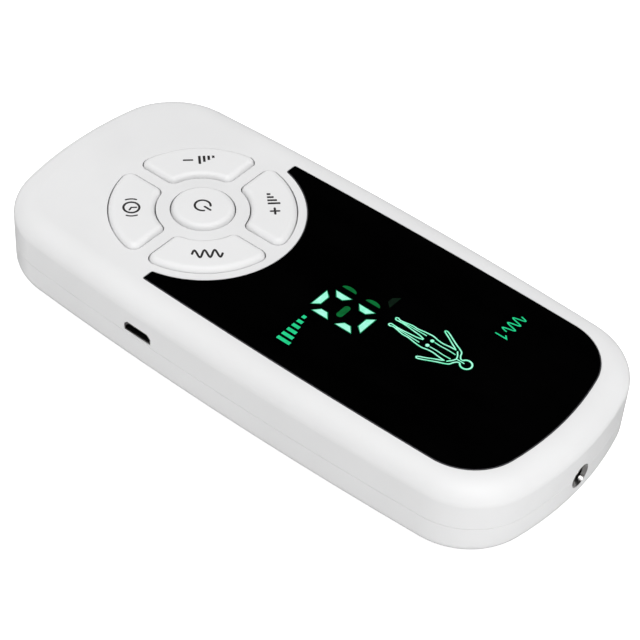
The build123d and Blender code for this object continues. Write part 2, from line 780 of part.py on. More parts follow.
# ================================================================ other parts under the board
capacitor_places = [(-21.5, 32.0), (-21.5, 40.5)]
with BuildPart() as electrolytic_capacitors:
    with BuildSketch(Plane.XY.offset(board_bottom)):
        with Locations(*capacitor_places):
            Rectangle(6.6, 6.6)
    extrude(amount=-0.8)
    chamfer(electrolytic_capacitors.edges().filter_by(Axis.Z).group_by(Axis.Y)[-1], length=1.2)
    with BuildSketch(Plane.XY.offset(board_bottom - 0.8)):
        with Locations(*capacitor_places):
            Circle(3.15)
    extrude(amount=-6.9)
    fillet(electrolytic_capacitors.edges().group_by(Axis.Z)[0], radius=0.5)
pieces["electrolytic_capacitors"] = electrolytic_capacitors.part

chip_gap = 0.15  # between a chip's body and the board
lead_thickness = 0.15
# name: middle x, middle y, width, length, thickness, leads along each side, lead pitch, leads on four sides
chips = {
    "microcontroller": (0.0, 0.0, 7.0, 7.0, 1.4, 8, 0.8, True),
    "output_driver": (0.0, 44.0, 3.9, 4.9, 1.4, 4, 1.27, False),
    "charger_chip": (16.0, -21.4, 3.9, 4.9, 1.4, 4, 1.27, False),
}


def chip_body(x, y, width, length, thickness):
    """A moulded chip package that hangs under the board."""
    with BuildPart() as body:
        with BuildSketch(Plane.XY.offset(board_bottom - chip_gap)):
            with Locations((x, y)):
                Rectangle(width, length)
        extrude(amount=-thickness)
        chamfer(body.faces().sort_by(Axis.Z)[0].edges(), length=0.2)
    return body.part


for name, (x, y, width, length, thickness, *_) in chips.items():
    pieces[name] = chip_body(x, y, width, length, thickness)

# One gull-wing lead: it leaves the package along +X from x = 0, then rises to the board.
lead_exit = board_bottom - chip_gap - 0.7
lead_foot = board_bottom - lead_thickness / 2
with BuildPart() as gull_wing:
    with BuildSketch(Plane.XZ):
        with BuildLine():
            Polyline((0, lead_exit), (0.35, lead_exit), (0.45, lead_foot), (1.0, lead_foot))
        trace(line_width=lead_thickness)
    extrude(amount=0.15, both=True)

lead_spots = []
for x, y, width, length, thickness, count, pitch, four_sides in chips.values():
    for turn in (0, 90, 180, 270) if four_sides else (0, 180):
        for step in range(count):
            along = (step - (count - 1) / 2) * pitch
            chip_frame = Location((x, y, 0), (0, 0, turn))
            lead_spots.append(chip_frame * Location((width / 2 + 0.01, along, 0)))
with BuildPart() as chip_leads:
    with Locations(*lead_spots):
        add(gull_wing.part)
pieces["chip_leads"] = chip_leads.part

small_part = (1.6, 0.8)
with BuildPart() as chip_resistors:
    with BuildSketch(Plane.XY.offset(board_bottom)):
        with Locations((13.0, 22.0)):
            with GridLocations(3.0, 2.2, 4, 5):
                Rectangle(*small_part)
    extrude(amount=-0.5)
pieces["chip_resistors"] = chip_resistors.part

with BuildPart() as chip_capacitors:
    with BuildSketch(Plane.XY.offset(board_bottom)):
        with Locations((-13.0, 0.0), (10.0, -12.0)):
            with GridLocations(3.2, 2.6, 2, 4):
                Rectangle(*small_part)
    extrude(amount=-0.8)
pieces["chip_capacitors"] = chip_capacitors.part

# ================================================================ write one file for each piece
os.makedirs("parts", exist_ok=True)
for name, piece in pieces.items():
    piece.label = name
    export_step(piece, f"parts/{name}.step")
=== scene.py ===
import json
import math

import bmesh
import bpy
from mathutils import Matrix, Vector


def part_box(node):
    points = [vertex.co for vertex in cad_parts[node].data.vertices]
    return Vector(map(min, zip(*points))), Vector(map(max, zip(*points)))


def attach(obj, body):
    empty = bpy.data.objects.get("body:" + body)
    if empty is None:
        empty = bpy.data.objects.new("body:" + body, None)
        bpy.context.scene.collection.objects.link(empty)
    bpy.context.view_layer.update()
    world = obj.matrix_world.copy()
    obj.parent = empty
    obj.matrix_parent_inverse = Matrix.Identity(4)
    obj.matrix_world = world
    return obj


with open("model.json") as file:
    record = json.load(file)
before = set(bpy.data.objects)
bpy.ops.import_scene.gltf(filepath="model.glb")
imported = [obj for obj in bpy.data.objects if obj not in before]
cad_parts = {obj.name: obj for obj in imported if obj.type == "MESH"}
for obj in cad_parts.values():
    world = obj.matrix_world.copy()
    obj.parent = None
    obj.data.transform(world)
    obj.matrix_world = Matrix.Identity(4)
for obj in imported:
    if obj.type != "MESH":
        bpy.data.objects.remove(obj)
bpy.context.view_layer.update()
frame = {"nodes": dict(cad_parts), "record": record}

# The looks of a hand-held TENS unit. Lengths in this script are millimetres unless a name says metres.
# +X is the USB side, +Y the end with the output jack, +Z up through the display.

MM = 0.001  # metres in a millimetre
BANDS_PER_LENGTH = 0.314  # the wave texture's scale at which its bands are one unit apart
record = frame["record"]
nodes = frame["nodes"]


def middle(node):
    """The middle of a CAD node's box at rest, in millimetres."""
    low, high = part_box(node)
    return (Vector(low) + Vector(high)) / 2 / MM


def top_of(node):
    """The height of a CAD node's upper face, in millimetres."""
    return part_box(node)[1][2] / MM


# ================================================================ materials
class Look:
    """A procedural material being put together. Its textures are placed in object space, in metres."""

    def __init__(self, name, roughness=0.5, metallic=0.0):
        self.material = bpy.data.materials.new(name)
        self.material.use_nodes = True
        self.tree = self.material.node_tree
        self.shader = self.tree.nodes["Principled BSDF"]
        self.place = self.tree.nodes.new("ShaderNodeTexCoord").outputs["Object"]
        self.set("Roughness", roughness)
        self.set("Metallic", metallic)

    def node(self, kind, **settings):
        made = self.tree.nodes.new(kind)
        for key, value in settings.items():
            setattr(made, key, value)
        return made

    def feed(self, socket, value):
        """Puts a number, a colour or another node's output into a socket."""
        if isinstance(value, bpy.types.NodeSocket):
            self.tree.links.new(value, socket)
        elif isinstance(value, tuple) and len(value) == 3 and socket.type == "RGBA":
            socket.default_value = (*value, 1.0)
        else:
            socket.default_value = value

    def set(self, name, value):
        self.feed(self.shader.inputs[name], value)

    def stretched(self, stretch):
        """Object space with each axis multiplied: a small factor draws a pattern out along that axis."""
        mapping = self.node("ShaderNodeMapping")
        self.feed(mapping.inputs["Vector"], self.place)
        mapping.inputs["Scale"].default_value = stretch
        return mapping.outputs["Vector"]

    def noise(self, feature, detail=2.0, stretch=(1, 1, 1)):
        """Cloudy noise between 0 and 1 with features about this many millimetres across."""
        texture = self.node("ShaderNodeTexNoise")
        self.feed(texture.inputs["Vector"], self.stretched(stretch))
        texture.inputs["Scale"].default_value = 1 / (feature * MM)
        texture.inputs["Detail"].default_value = detail
        return texture.outputs["Fac"]

    def cells(self, feature, stretch=(1, 1, 1)):
        """Distance to the nearest of many scattered points, for grains and pores."""
        texture = self.node("ShaderNodeTexVoronoi")
        self.feed(texture.inputs["Vector"], self.stretched(stretch))
        texture.inputs["Scale"].default_value = 1 / (feature * MM)
        return texture.outputs["Distance"]

    def bands(self, spacing, axis="Z", distortion=0.0):
        """Even bands across an axis, this many millimetres apart, for turned or wound surfaces."""
        texture = self.node("ShaderNodeTexWave", wave_type="BANDS", bands_direction=axis)
        self.feed(texture.inputs["Vector"], self.place)
        texture.inputs["Scale"].default_value = BANDS_PER_LENGTH / (spacing * MM)
        texture.inputs["Distortion"].default_value = distortion
        return texture.outputs["Fac"]

    def between(self, factor, low, high, start=0.3, end=0.7):
        """Runs from low to high, numbers or colours, while the factor goes from start to end."""
        ramp = self.node("ShaderNodeMapRange", clamp=True)
        self.feed(ramp.inputs["Value"], factor)
        ramp.inputs["From Min"].default_value = start
        ramp.inputs["From Max"].default_value = end
        if isinstance(low, tuple) or isinstance(high, tuple):
            mix = self.node("ShaderNodeMix", data_type="RGBA")
            self.feed(mix.inputs[0], ramp.outputs["Result"])
            self.feed(mix.inputs[6], low)
            self.feed(mix.inputs[7], high)
            return mix.outputs[2]
        ramp.inputs["To Min"].default_value = low
        ramp.inputs["To Max"].default_value = high
        return ramp.outputs["Result"]

    def relief(self, height, depth, strength=1.0):
        """Raises the surface by this many millimetres where height is 1. Reliefs stack."""
        bump = self.node("ShaderNodeBump")
        bump.inputs["Distance"].default_value = depth * MM
        bump.inputs["Strength"].default_value = strength
        self.feed(bump.inputs["Height"], height)
        before = self.shader.inputs["Normal"]
        if before.is_linked:
            self.feed(bump.inputs["Normal"], before.links[0].from_socket)
        self.feed(before, bump.outputs["Normal"])


def tint(colour, factor):
    return tuple(min(1.0, channel * factor) for channel in colour)


def moulded_plastic(name, colour, roughness, grain=0.12, depth=0.0015, shift=0.03):
    """Moulded plastic: fine grain, slow colour drift, uneven gloss, and painted shade that darkens it where
    seen aslant.
    """
    look = Look(name)
    cloud = look.noise(feature=22.0, detail=3.0)
    drift = look.between(cloud, tint(colour, 1 - shift), tint(colour, 1 + shift / 2))
    # Painted shade: the colour darkens towards the outline, where the surface is seen aslant.
    painted_edge_shade = look.node("ShaderNodeLayerWeight").outputs["Facing"]
    look.set("Base Color", look.between(painted_edge_shade, drift, tint(colour, 0.62), start=0.62, end=1.0))
    gloss = look.noise(feature=4.0, detail=4.0)
    look.set("Roughness", look.between(gloss, roughness - 0.04, roughness + 0.05))
    look.set("IOR", 1.53)
    look.relief(look.noise(grain, detail=1.0), depth, strength=0.6)
    thin_wall_waves = look.noise(feature=9.0, detail=1.0)
    look.relief(thin_wall_waves, depth * 6, strength=0.5)
    return look


def polished_black(name):
    """Acrylic printed black on its underside: deep and glossy with faint wipe marks. Its sloped edges are
    painted grey, a painted reflection of light along the rim.
    """
    look = Look(name)
    print_black = look.between(look.noise(14.0), (0.0001, 0.0001, 0.00012), (0.0003, 0.0003, 0.00034))
    # Painted reflection: the sloped edges get a grey that stands for light mirrored along the rim.
    painted_rim_reflection = (0.055, 0.055, 0.06)
    normal = look.node("ShaderNodeSeparateXYZ")
    look.feed(normal.inputs["Vector"], look.node("ShaderNodeNewGeometry").outputs["True Normal"])
    look.set("Base Color", look.between(normal.outputs["Z"], painted_rim_reflection, print_black, start=0.75, end=0.95))
    wipes = look.noise(7.0, detail=5.0, stretch=(1.0, 0.25, 1.0))
    look.set("Roughness", look.between(wipes, 0.05, 0.13))
    look.set("IOR", 1.49)
    look.relief(look.noise(18.0, detail=1.0), depth=0.004, strength=0.4)
    return look


def plated_metal(name, colour, roughness, brush=(1, 1, 1), line=0.25):
    """Plated metal with drawn or turned lines and uneven shine."""
    look = Look(name, metallic=1.0)
    lines = look.noise(line, detail=3.0, stretch=brush)
    look.set("Base Color", look.between(look.noise(2.5, 3.0), tint(colour, 0.88), tint(colour, 1.06)))
    look.set("Roughness", look.between(lines, roughness * 0.7, roughness * 1.35))
    look.relief(lines, depth=0.003, strength=0.5)
    return look


def lit(name, colour, strength, edge_colour):
    """A display mark lit from behind through black acrylic: brighter in some places than in others."""
    look = Look(name, roughness=0.12)
    look.set("Base Color", (0.004, 0.006, 0.005))
    glow = look.noise(1.6, detail=2.0)
    look.set("Emission Color", look.between(glow, edge_colour, colour, start=0.25, end=0.6))
    flicker = look.noise(0.5, detail=1.0)
    look.set("Emission Strength", look.between(flicker, strength * 0.92, strength * 1.05))
    return look


def case_white():
    return moulded_plastic("case_white", (0.745, 0.745, 0.748), 0.36)


def key_white():
    return moulded_plastic("key_white", (0.76, 0.76, 0.763), 0.34, grain=0.1, depth=0.001, shift=0.02)


def window_black():
    return polished_black("window_black")


def adhesive():
    look = Look("adhesive", roughness=0.9)
    pores = look.cells(0.25)
    foam = look.between(pores, (0.015, 0.015, 0.016), (0.06, 0.06, 0.062), start=0.1, end=0.6)
    look.set("Base Color", foam)
    look.relief(pores, depth=0.04)
    return look


def screw_steel():
    look = plated_metal("screw_steel", (0.55, 0.55, 0.57), 0.32, brush=(1, 1, 0.2))
    thread = look.bands(0.7, "Z")
    look.relief(thread, depth=0.12, strength=0.7)
    return look


def board_green():
    """Solder mask over copper tracks, with pads here and there."""
    look = Look("board_green", roughness=0.3)
    tracks = look.node("ShaderNodeTexBrick", offset=0.37, squash=0.6, squash_frequency=3)
    look.feed(tracks.inputs["Vector"], look.place)
    tracks.inputs["Scale"].default_value = 1 / (9.0 * MM)
    tracks.inputs["Mortar Size"].default_value = 0.03
    tracks.inputs["Color1"].default_value = (0.006, 0.11, 0.035, 1)
    tracks.inputs["Color2"].default_value = (0.008, 0.13, 0.045, 1)
    tracks.inputs["Mortar"].default_value = (0.02, 0.22, 0.07, 1)
    look.set("Base Color", tracks.outputs["Color"])
    look.relief(tracks.outputs["Fac"], depth=0.035)
    look.set("Coat Weight", 0.6)
    look.set("Coat Roughness", look.between(look.noise(1.5, 3.0), 0.08, 0.2))
    return look


def black_plastic():
    return moulded_plastic("black_plastic", (0.018, 0.018, 0.019), 0.45, grain=0.15, depth=0.004, shift=0.2)


def white_plastic():
    return moulded_plastic("white_plastic", (0.74, 0.74, 0.71), 0.5, grain=0.2, depth=0.003)


def sheet_steel():
    return plated_metal("sheet_steel", (0.30, 0.295, 0.30), 0.26, brush=(0.15, 1, 1))


def plated_brass():
    # The metal is dark grey, painted shade: it darkens the jack's ring as if it mirrored dark surroundings.
    look = plated_metal("plated_brass", (0.23, 0.225, 0.22), 0.22, brush=(1, 0.3, 1), line=0.3)
    turning_lines = look.bands(0.22, "Y")
    look.relief(turning_lines, depth=0.006, strength=0.5)
    return look


def contact_gold():
    return plated_metal("contact_gold", (0.80, 0.60, 0.26), 0.2, brush=(0.3, 1, 1))


def diffuser():
    look = Look("diffuser", roughness=0.55)
    look.set("Base Color", look.between(look.noise(0.6, 4.0), (0.62, 0.74, 0.68), (0.74, 0.84, 0.80)))
    look.set("Subsurface Weight", 0.3)
    look.set("Subsurface Scale", 0.4 * MM)
    look.relief(look.noise(0.15), depth=0.01)
    return look


def led_lens():
    look = Look("led_lens", roughness=0.15)
    look.set("Base Color", look.between(look.noise(0.4), (0.30, 0.78, 0.55), (0.55, 0.90, 0.72)))
    look.set("Coat Weight", 0.7)
    look.set("Emission Color", (0.1, 0.9, 0.5))
    look.set("Emission Strength", look.between(look.noise(0.5), 0.1, 0.3))
    return look


def battery_foil():
    look = Look("battery_foil", metallic=0.85)
    creases = look.noise(3.0, detail=6.0)
    look.set("Base Color", look.between(creases, (0.52, 0.53, 0.55), (0.72, 0.73, 0.75)))
    look.set("Roughness", look.between(look.noise(1.0, 4.0), 0.28, 0.45))
    look.relief(creases, depth=0.08, strength=0.5)
    return look


def vinyl(name, colour):
    look = Look(name)
    look.set("Base Color", look.between(look.noise(2.0, 3.0), tint(colour, 0.8), tint(colour, 1.1)))
    look.set("Roughness", look.between(look.noise(0.6), 0.38, 0.5))
    look.relief(look.noise(0.2, stretch=(1, 0.3, 1)), depth=0.006)
    return look


def wire_red():
    return vinyl("wire_red", (0.55, 0.015, 0.012))


def wire_black():
    return vinyl("wire_black", (0.015, 0.015, 0.015))


def ferrite():
    look = Look("ferrite", roughness=0.6, metallic=0.3)
    grains = look.cells(0.12)
    grey = look.between(grains, (0.035, 0.035, 0.038), (0.11, 0.11, 0.115), start=0.1, end=0.6)
    look.set("Base Color", grey)
    look.relief(grains, depth=0.015)
    return look


def copper_wire():
    look = Look("copper_wire", metallic=1.0, roughness=0.22)
    turns = look.bands(0.16, "Z", distortion=0.4)
    look.set("Base Color", look.between(turns, (0.28, 0.07, 0.025), (0.72, 0.28, 0.12), start=0.1, end=0.7))
    look.set("Coat Weight", 0.5)
    look.relief(turns, depth=0.05)
    return look


def capacitor_can():
    return plated_metal("capacitor_can", (0.72, 0.72, 0.74), 0.3, brush=(1, 1, 0.1))


def chip_ceramic():
    look = Look("chip_ceramic", roughness=0.55)
    grains = look.noise(0.1, 3.0)
    look.set("Base Color", look.between(grains, (0.20, 0.13, 0.08), (0.34, 0.25, 0.17)))
    look.relief(grains, depth=0.01)
    return look


makers = (case_white, key_white, window_black, adhesive, screw_steel, board_green, black_plastic)
makers += (white_plastic, sheet_steel, plated_brass, contact_gold, diffuser, led_lens, battery_foil)
makers += (wire_red, wire_black, ferrite, copper_wire, capacitor_can, chip_ceramic)
materials = {maker.__name__: maker().material for maker in makers}

for subpart in record["subparts"]:
    node = nodes[subpart["node"]]
    node.data.materials.clear()
    node.data.materials.append(materials[subpart["material_slot"]])

# The charging socket's shell is made dark, unlike the bright sheet steel of the switches: painted shade that
# keeps the mouth of the slot dark.
painted_shade_steel = plated_metal("painted_shade_steel", (0.10, 0.097, 0.095), 0.35)
nodes["usb_shell"].data.materials[0] = painted_shade_steel.material

ink = moulded_plastic("print_ink", (0.022, 0.020, 0.021), 0.5, grain=0.08, depth=0.001, shift=0.25)
print_ink = ink.material
# display marks: colour, strength, and the colour where the light is weaker
bright_mark = lit("bright_mark", (0.42, 1.0, 0.80), 1.0, (0.24, 1.0, 0.62)).material
line_mark = lit("line_mark", (0.42, 1.0, 0.76), 1.08, (0.18, 0.95, 0.54)).material
green_mark = lit("green_mark", (0.02, 0.72, 0.30), 0.95, (0.008, 0.55, 0.20)).material
glow_mark = lit("glow_mark", (0.01, 0.30, 0.12), 1.0, (0.005, 0.20, 0.075)).material
dim_mark = lit("dim_mark", (0.0, 0.17, 0.035), 0.9, (0.0, 0.11, 0.022)).material
faint_mark = lit("faint_mark", (0.0, 0.009, 0.002), 0.8, (0.0, 0.003, 0.001)).material


# ================================================================ flat marks
def arc(centre, radius, start, end, count):
    """Points round part of a circle. Angles are in degrees."""
    angles = [math.radians(start + (end - start) * i / count) for i in range(count + 1)]
    return [Vector((centre[0] + radius * math.cos(a), centre[1] + radius * math.sin(a))) for a in angles]


def smooth(points, steps=4):
    """A curve through all the points (Catmull-Rom)."""
    points = [Vector(p) for p in points]
    ends = [points[0] * 2 - points[1], *points, points[-1] * 2 - points[-2]]
    curve = []
    for a, b, c, d in zip(ends, ends[1:], ends[2:], ends[3:]):
        for i in range(steps):
            t = i / steps
            slope = (c - a) * t
            bend = (2 * a - 5 * b + 4 * c - d) * t**2
            twist = (3 * b - a - 3 * c + d) * t**3
            curve.append(0.5 * (2 * b + slope + bend + twist))
    return curve + [points[-1]]


def mirrored(points):
    return [Vector((-p[0], p[1])) for p in points]


class Marks:
    """Thin raised marks in one mesh: filled shapes and drawn lines on a level plane.

    Places are relative to an origin on that plane, turned by an angle in degrees. Each mark is a closed
    solid, and a little higher than the one before, so that crossing lines don't share a surface.
    """

    step_height = 0.0008  # from one mark to the next
    sharpest_mitre = 0.4  # keeps the points of sharp bends short

    def __init__(self, origin, level, thickness, turn=0.0):
        self.mesh = bmesh.new()
        self.origin = Vector(origin)
        self.level = level
        self.thickness = thickness
        self.turn = Matrix.Rotation(math.radians(turn), 2)
        self.step = 0

    def corner(self, point, height):
        x, y = self.turn @ Vector(point) + self.origin
        return self.mesh.verts.new((x * MM, y * MM, height * MM))

    def heights(self):
        self.step += 1
        return self.level - self.thickness, self.level + self.thickness + self.step_height * self.step

    def shape(self, outline):
        """Fills a closed outline, given anticlockwise."""
        low, high = self.heights()
        below = [self.corner(p, low) for p in outline]
        above = [self.corner(p, high) for p in outline]
        self.mesh.faces.new(above)
        self.mesh.faces.new(list(reversed(below)))
        for i in range(len(outline)):
            j = (i + 1) % len(outline)
            self.mesh.faces.new((below[i], below[j], above[j], above[i]))

    def line(self, points, width, closed=False):
        """Draws a line of even width. Open lines get round ends."""
        points = [Vector(p) for p in points]
        halves = [width / 2] * len(points)
        if not closed:
            points, halves = self.round_ends(points, halves)
        count = len(points)
        low, high = self.heights()
        rows = []
        for i, point in enumerate(points):
            before = points[i - 1] if i or closed else points[0]
            after = points[(i + 1) % count] if i < count - 1 or closed else points[-1]
            into = (point - before).normalized() if point != before else (after - point).normalized()
            out = (after - point).normalized() if after != point else into
            across = Vector((-into.y - out.y, into.x + out.x)).normalized()
            mitre = halves[i] / max(self.sharpest_mitre, across.dot(Vector((-out.y, out.x))))
            left = point + across * mitre
            right = point - across * mitre
            section = ((left, low), (right, low), (right, high), (left, high))
            rows.append([self.corner(place, height) for place, height in section])
        pairs = list(zip(rows, rows[1:])) + ([(rows[-1], rows[0])] if closed else [])
        for first, second in pairs:
            for side in range(4):
                other = (side + 1) % 4
                self.mesh.faces.new((first[side], first[other], second[other], second[side]))
        if not closed:
            self.mesh.faces.new(list(reversed(rows[0])))
            self.mesh.faces.new(rows[-1])

    @staticmethod
    def round_ends(points, halves, steps=3):
        """Adds points that narrow the line in a half circle before its first and after its last point."""
        radius = halves[0]
        first = (points[0] - points[1]).normalized()
        last = (points[-1] - points[-2]).normalized()
        short_of_a_point = 0.4  # in steps: the end keeps a small flat face
        turns = [math.radians(90 * (i + 1) / (steps + short_of_a_point)) for i in range(steps)]
        reach = [radius * math.sin(a) for a in turns]
        narrow = [radius * math.cos(a) for a in turns]
        before = [points[0] + first * r for r in reversed(reach)]
        after = [points[-1] + last * r for r in reach]
        return before + points + after, list(reversed(narrow)) + halves + narrow

    def finish(self, name, material, body, slot):
        """Makes the marks one named piece that moves with a body."""
        bmesh.ops.recalc_face_normals(self.mesh, faces=self.mesh.faces)
        mesh = bpy.data.meshes.new(name)
        self.mesh.to_mesh(mesh)
        self.mesh.free()
        mesh.materials.append(material)
        piece = bpy.data.objects.new(name, mesh)
        bpy.context.scene.collection.objects.link(piece)
        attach(piece, body)


# ================================================================ prints on the keys
print_thickness = 0.015
print_line = 0.5
print_thin_line = 0.4
print_height = 2.8
print_ring_radius = 1.75
print_arc_radius = 2.85
sign_middle = 2.45  # of the plus and minus signs, right of the key's middle
sign_reach = 0.95  # from the middle of the sign to the ends of its strokes


def level_bars(marks, left, base, width, heights, fill=0.55):
    """Upright bars from left to right, each as high as its entry in heights."""
    pitch = width / len(heights)
    for i, height in enumerate(heights):
        start = left + i * pitch
        end = start + pitch * fill
        marks.shape([(start, base), (end, base), (end, base + height), (start, base + height)])


def draw_power(marks):
    """A ring, open at the top, with a stroke in the opening."""
    marks.line(arc((0, -0.1), print_ring_radius, 128, 412, 28), print_line)
    marks.line([(0, 0.5), (0, 2.2)], print_line)


def draw_less(marks):
    """Rising bars and a minus sign."""
    heights = [print_height * share for share in (0.3, 0.53, 0.76, 1.0)]
    level_bars(marks, left=-3.6, base=-print_height / 2, width=4.2, heights=heights)
    marks.line([(sign_middle - sign_reach, 0), (sign_middle + sign_reach, 0)], print_line)


def draw_more(marks):
    """Rising bars and a plus sign."""
    draw_less(marks)
    marks.line([(sign_middle, -sign_reach), (sign_middle, sign_reach)], print_line)


def draw_clock(marks):
    """A dial with two hands, between two short arcs."""
    marks.line(arc((0, 0), print_ring_radius, 0, 360, 36)[:-1], print_line, closed=True)
    marks.line([(0, 1.1), (0, 0), (0.8, -0.45)], print_thin_line)
    for facing in (0, 180):
        marks.line(arc((0, 0), print_arc_radius, facing - 24, facing + 24, 6), print_thin_line)


def wave(count, width, height):
    """A rounded wave: this many swings up and down over the width, between 0 and the height."""
    steps = 16 * count
    swings = [math.sin(2 * math.pi * count * i / steps) for i in range(steps + 1)]
    return [(width * i / steps, height * (1 + swing) / 2) for i, swing in enumerate(swings)]


def draw_wave(marks):
    """A wave, for the key that changes the kind of pulse."""
    width = 6.6
    height = print_height - print_line
    marks.line([(x - width / 2, y - height / 2) for x, y in wave(3, width, height)], print_line)


# key: how its print is turned to read round the key pad, and how it is drawn
prints = {
    "power": (0, draw_power),
    "stronger": (45, draw_more),
    "weaker": (-45, draw_less),
    "mode": (-45, draw_wave),
    "timer": (45, draw_clock),
}
for key, (turn, draw) in prints.items():
    place = middle(f"{key}_plunger").to_2d()
    marks = Marks(place, top_of(f"{key}_key"), print_thickness, turn)
    draw(marks)
    marks.finish(f"print_{key}", print_ink, f"{key}_button", "black_plastic")

# ================================================================ the lit display
display_middle = middle("display_film").to_2d()
window_top = top_of("display_window")
mark_thickness = 0.012


def display_marks(place, lift=0.0):
    """Marks on the window, placed from the middle of the display. Lift puts marks over their own glow."""
    return Marks(display_middle + Vector(place), window_top + lift, mark_thickness)


digit_width = 8.0
digit_height = 13.1
bar_thickness = 1.42
bar_mitre = 0.9  # how far a bar's ends slope in, for each millimetre of its thickness
bar_across = 5.1  # outer edge of the bars at the digit's two ends
bar_along = 4.0  # outer edge of the bars at its sides
digit_place = (4.6, -11.65)
next_digit_place = (-4.9, -11.65)
glow_width = 0.17  # how far light spreads round a lit mark
glow_lift = 0.02


def bar(marks, middle_point, outer, turn, grow=0.0):
    """One mitred bar. Its longer, outer edge faces the direction turn, in degrees."""
    inner = outer - 2 * bar_thickness * bar_mitre
    point_grow = 1.6 * grow  # a glow reaches further past a bar's pointed corners
    corners = [
        (-inner / 2 - grow, -grow),
        (inner / 2 + grow, -grow),
        (outer / 2 + point_grow, bar_thickness + grow),
        (-outer / 2 - point_grow, bar_thickness + grow),
    ]
    spin = Matrix.Rotation(math.radians(turn - 90), 2)
    marks.shape([spin @ Vector(c) + Vector(middle_point) for c in corners])


def draw_zero(marks, grow=0.0):
    """The six lit bars of a seven-bar digit that shows zero."""
    end = digit_height / 2 - bar_thickness
    side = digit_width / 2 - bar_thickness
    beside = digit_height / 4 - 0.15  # the side bars stand closer to the middle than to the ends
    bar(marks, (0, end), bar_across, 90, grow)
    bar(marks, (0, -end), bar_across, -90, grow)
    for y in (-beside, beside):
        bar(marks, (side, y), bar_along, 0, grow)
        bar(marks, (-side, y), bar_along, 180, grow)


def draw_slot(marks, length, width):
    """A bar with round ends, along X."""
    reach = (length - width) / 2
    marks.shape(arc((reach, 0), width / 2, -90, 90, 10) + arc((-reach, 0), width / 2, 90, 270, 10))


def draw_half_moon(marks, y, length, depth):
    """A side bar of an unlit digit, seen only where stray light reaches it."""
    steps = 16
    angles = [math.pi * i / steps for i in range(steps + 1)]
    marks.shape([Vector((-depth * math.sin(a), y + length / 2 * math.cos(a))) for a in angles])


zero_glow = display_marks(digit_place)
draw_zero(zero_glow, glow_width)
zero_glow.finish("digit_glow", glow_mark, "case", "led_lens")

zero = display_marks(digit_place, glow_lift)
draw_zero(zero)
zero.finish("digit_lit", bright_mark, "case", "led_lens")

middle_bar = display_marks(digit_place)
draw_slot(middle_bar, length=3.9, width=1.5)
middle_bar.finish("digit_middle_bar", dim_mark, "case", "led_lens")

ghost_inset = 0.4  # from the edge of the next digit
ghost_beside = digit_height / 4 - 0.1  # from the digit's middle to the middle of a side bar
ghost = display_marks((next_digit_place[0] + digit_width / 2 - ghost_inset, next_digit_place[1]))
for y in (-ghost_beside, ghost_beside):
    draw_half_moon(ghost, y, length=3.7, depth=1.05)
ghost.finish("next_digit_side_bars", dim_mark, "case", "led_lens")

faint = display_marks(next_digit_place)
bar(faint, (0, digit_height / 2 - bar_thickness), bar_across * 0.8, 90)
faint.finish("next_digit_end_bar", faint_mark, "case", "led_lens")

# The body outline: half of it is drawn, then mirrored. The feet are at 0.
figure_line = 0.24
figure_place = (-0.15, -2.6)
head_radius = 1.3
head_middle = (0, 19.55)
hip_dot_radius = 0.42
hip_dot_middle = (0.85, 10.2)
half_figure = {
    "arm and shoulder": [
        (0.5, 18.3), (0.6, 17.75), (1.3, 17.2), (2.2, 16.8), (2.8, 15.9), (3.4, 14.6), (4.2, 13.1),
        (4.95, 11.7), (5.3, 10.8), (5.0, 10.45), (4.6, 10.95), (4.0, 12.1), (3.1, 13.6), (2.45, 14.8),
        (2.05, 15.4),
    ],
    "side and leg": [
        (2.05, 15.4), (1.95, 13.9), (1.75, 12.4), (1.85, 11.0), (2.15, 9.5), (2.0, 7.7), (1.7, 5.8),
        (1.75, 4.4), (1.4, 2.6), (1.25, 1.5), (1.5, 0.8), (1.25, 0.35), (0.8, 0.7), (0.85, 1.7),
        (0.85, 3.3), (0.65, 5.2), (0.45, 7.2), (0.12, 8.4),
    ],
    "inner leg": [(1.3, 8.3), (1.25, 6.2), (1.2, 4.0), (1.1, 2.2)],
    "trunk": [(0.85, 16.1), (0.9, 14.2), (0.8, 12.4), (0.85, 10.9)],
    "collar": [(0.1, 17.05), (0.9, 16.7), (1.85, 16.0)],
}  # fmt: skip
thin_strokes = ("inner leg", "trunk")


def draw_figure(marks, spread=0.0):
    """The body outline with its head and neck and two dots at the hips. Spread widens it all into a glow."""
    for name, points in half_figure.items():
        width = figure_line * (0.7 if name in thin_strokes else 1.0) + spread
        for side in (points, mirrored(points)):
            marks.line(smooth(side), width)
    marks.line(arc(head_middle, head_radius, -62, 242, 24), figure_line * 1.35 + spread)
    marks.line([(0, 19.0), (0, 17.2)], figure_line * 0.8 + spread)
    for side in (-1, 1):
        dot_middle = (side * hip_dot_middle[0], hip_dot_middle[1])
        marks.shape(arc(dot_middle, hip_dot_radius + spread / 2, 0, 360, 12)[:-1])


figure_glow = display_marks(figure_place)
draw_figure(figure_glow, glow_width)
figure_glow.finish("body_outline_glow", glow_mark, "case", "led_lens")
figure = display_marks(figure_place, glow_lift * 2)
draw_figure(figure)
figure.finish("body_outline", line_mark, "case", "led_lens")

sign_line = 0.32
mode_sign_place = (-19.6, 16.1)
numeral_one = [(6.9, 2.0), (7.6, 2.65), (7.6, -0.1)]
mode_sign = display_marks(mode_sign_place)
mode_sign.line(wave(count=3, width=5.8, height=2.6), sign_line)
mode_sign.line(numeral_one, sign_line)
mode_sign.finish("mode_sign", green_mark, "case", "led_lens")

level_sign_place = (11.0, -17.2)
level_sign = display_marks(level_sign_place)
level_bars(level_sign, left=0, base=0, width=9.8, heights=(0.9, 1.4, 1.9, 2.4, 2.9, 3.4))
level_sign.finish("level_bars", green_mark, "case", "led_lens")


